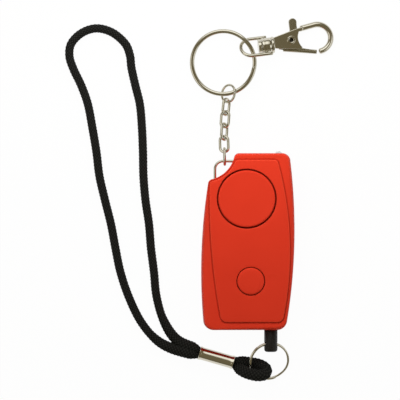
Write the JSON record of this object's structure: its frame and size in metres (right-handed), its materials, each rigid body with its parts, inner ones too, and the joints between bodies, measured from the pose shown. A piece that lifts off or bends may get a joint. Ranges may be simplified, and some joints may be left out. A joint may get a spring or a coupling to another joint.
{
  "type": "personal safety alarm",
  "caption": "Keyring safety alarm in a moulded case with a sounder, push button, lamp, pull pin on a wrist strap, and a chain with a split ring and swivel clasp.",
  "frame": {"origin": "middle of the case's flat back, on the table the alarm lies on", "axes": "+Z out of the front face, +Y from the pull pin at the bottom to the chain and lamp at the top, +X to the right seen from the front"},
  "size_m": [0.1067, 0.1444, 0.0153],
  "materials": {
    "red_plastic": "moulded, semi-gloss",
    "nickel": "nickel plated",
    "screw_steel": "plain",
    "black_cord": "braided",
    "black_plastic": "moulded, satin",
    "foam": "closed-cell foam",
    "brass": "rolled",
    "board": "solder mask",
    "coil": "enamelled wire",
    "clear": "clear",
    "cell_jacket": "plain jacket"
  },
  "bodies": {
    "case": {"front_shell": "red_plastic", "rear_shell": "red_plastic", "battery_door": "red_plastic", "case_screws": "screw_steel", "door_screw": "screw_steel", "sound_disc": "red_plastic", "piezo_disc": "brass", "piezo_seal": "foam", "button_switch": "black_plastic", "circuit_board": "board", "boost_coil": "coil", "control_chip": "black_plastic", "pin_socket": "black_plastic", "socket_leaves": "brass", "lamp": "clear", "battery_cell": "cell_jacket", "battery_spring": "nickel", "battery_plate": "nickel", "wire_bail": "nickel"},
    "button": {"push_button": "red_plastic", "switch_plunger": "black_plastic"},
    "pin": {"pull_pin": "black_plastic"},
    "ring": {"pin_ring": "nickel"},
    "strap": {"ring_loop_cord": "black_cord", "crimp_ferrule": "nickel", "wrist_cord": "black_cord"},
    "end_link": {"chain_end_link": "nickel"},
    "link_4": {"chain_link_4": "nickel"},
    "link_3": {"chain_link_3": "nickel"},
    "link_2": {"chain_link_2": "nickel"},
    "link_1": {"chain_link_1": "nickel"},
    "jump": {"jump_ring": "nickel"},
    "keys": {"key_ring": "nickel"},
    "eye": {"swivel_eye": "nickel"},
    "hook": {"clasp_hook": "nickel", "trigger_rivet": "nickel", "trigger_spring": "nickel"},
    "trigger": {"clasp_trigger": "nickel"}
  },
  "joints": [
    {"name": "button_press", "type": "slide", "parent": "case", "child": "button", "axis": [0, 0, -1], "range_m": [0, 0.0008], "stiffness_N_per_m": 400},
    {"name": "pin_pull", "type": "slide", "parent": "case", "child": "pin", "axis": [0, -1, 0], "range_m": [0, 0.013]},
    {"name": "ring_swing", "type": "hinge", "parent": "pin", "child": "ring", "pos_m": [0.00905, -0.0406, 0.007], "axis": [-0.9781, 0, 0.2079], "range_deg": [-6, 20]},
    {"name": "strap_swing", "type": "hinge", "parent": "ring", "child": "strap", "pos_m": [0.00157, -0.05036, 0.00452], "axis": [-0.9781, 0, 0.2079], "range_deg": [-20, 6]},
    {"name": "bail_swing", "type": "hinge", "parent": "case", "child": "end_link", "pos_m": [-0.0094, 0.0321, 0.0075], "axis": [1, 0, 0], "range_deg": [-20, 30]},
    {"name": "link_4_turn", "type": "hinge", "parent": "end_link", "child": "link_4", "pos_m": [-0.00949, 0.03711, 0.00654], "axis": [0.0033, -0.1886, -0.982], "range_deg": [-18, 18]},
    {"name": "link_3_turn", "type": "hinge", "parent": "link_4", "child": "link_3", "pos_m": [-0.00967, 0.04206, 0.00558], "axis": [-0.9636, -0.0825, -0.2542], "range_deg": [-18, 18]},
    {"name": "link_2_turn", "type": "hinge", "parent": "link_3", "child": "link_2", "pos_m": [-0.00936, 0.04702, 0.00463], "axis": [0.6343, -0.1779, -0.7523], "range_deg": [-18, 18]},
    {"name": "link_1_turn", "type": "hinge", "parent": "link_2", "child": "link_1", "pos_m": [-0.009, 0.05196, 0.00368], "axis": [-0.9097, -0.0163, -0.415], "range_deg": [-18, 18]},
    {"name": "jump_ring_turn", "type": "hinge", "parent": "link_1", "child": "jump", "pos_m": [-0.00846, 0.05689, 0.00273], "axis": [0.6893, -0.2066, -0.6944], "range_deg": [-20, 20]},
    {"name": "key_ring_turn", "type": "hinge", "parent": "jump", "child": "keys", "pos_m": [-0.00786, 0.0591, 0.00291], "axis": [-0.9793, -0.1627, -0.1203], "range_deg": [-15, 15]},
    {"name": "eye_turn", "type": "hinge", "parent": "keys", "child": "eye", "pos_m": [0.00119, 0.07717, 0.0042], "axis": [-0.4513, 0.8912, -0.0452], "range_deg": [-20, 20]},
    {"name": "clasp_swivel", "type": "hinge", "parent": "eye", "child": "hook", "pos_m": [0.00551, 0.07805, 0.00378], "axis": [0.9876, 0.1213, -0.0993], "continuous": true},
    {"name": "trigger_press", "type": "hinge", "parent": "hook", "child": "trigger", "pos_m": [0.01706, 0.08047, 0.00261], "axis": [0.0986, 0.0121, 0.9951], "range_deg": [0, 24], "stiffness_Nm_per_rad": 0.02}
  ],
  "couplings": [
    {"joint": "strap_swing", "follows": "ring_swing", "ratio": -1}
  ]
}
